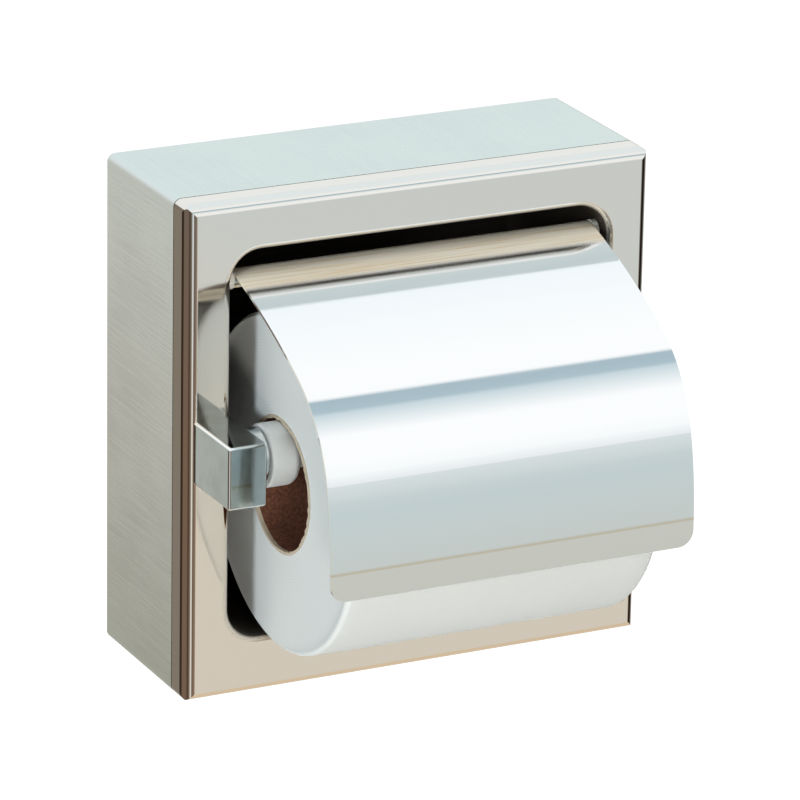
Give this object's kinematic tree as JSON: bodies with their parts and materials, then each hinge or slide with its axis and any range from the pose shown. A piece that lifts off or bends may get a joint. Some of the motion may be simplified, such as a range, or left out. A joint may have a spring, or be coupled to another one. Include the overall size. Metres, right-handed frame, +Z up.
{
  "type": "toilet paper dispenser",
  "caption": "Wall-mounted steel toilet paper dispenser with a recessed front, a hinged curved hood and a spring roller between chrome posts holding a full roll.",
  "frame": {"origin": "centre of the wall-screw pattern, on the wall plane", "axes": "+Z up, +X to the viewer's right, +Y into the wall, so the front faces -Y"},
  "size_m": [0.155, 0.125, 0.158],
  "materials": {
    "satin_steel": "satin",
    "polished_steel": "bright polished",
    "hood_steel": "bright polished",
    "fixing_steel": "zinc plated",
    "chrome_casting": "chrome plated",
    "nylon": "moulded",
    "roller_plastic": "moulded, semi-gloss",
    "spring_steel": "drawn wire",
    "cardboard": "raw board",
    "tissue_paper": "soft, lightly embossed"
  },
  "bodies": {
    "housing": {"surface_box": "satin_steel", "recess_pan": "polished_steel", "hinge_rod": "fixing_steel", "hinge_spacer_left": "nylon", "hinge_spacer_right": "nylon", "rod_clip_left": "fixing_steel", "rod_clip_right": "fixing_steel", "post_left": "chrome_casting", "post_right": "chrome_casting", "post_screws_left": "fixing_steel", "post_screws_right": "fixing_steel", "post_washers_left": "fixing_steel", "post_washers_right": "fixing_steel"},
    "hood": {"hood": "hood_steel"},
    "roller": {"roller_sleeve": "roller_plastic", "roller_spring": "spring_steel"},
    "plunger": {"roller_plunger": "roller_plastic"},
    "roll": {"cardboard_core": "cardboard", "paper_roll": "tissue_paper"}
  },
  "joints": [
    {"name": "hood_lift", "type": "hinge", "parent": "housing", "child": "hood", "pos_m": [0, -0.0531, 0.05319], "axis": [-1, 0, 0], "range_deg": [0, 46]},
    {"name": "roller_spin", "type": "hinge", "parent": "housing", "child": "roller", "pos_m": [0, -0.0695, 0.00199], "axis": [1, 0, 0], "continuous": true},
    {"name": "plunger_slide", "type": "slide", "parent": "roller", "child": "plunger", "axis": [1, 0, 0], "range_m": [0, 0.007], "stiffness_N_per_m": 300, "springref_m": -0.015, "deforming": ["roller_spring"]},
    {"name": "roll_spin", "type": "hinge", "parent": "housing", "child": "roll", "pos_m": [0, -0.0695, -0.00821], "axis": [1, 0, 0], "continuous": true}
  ]
}
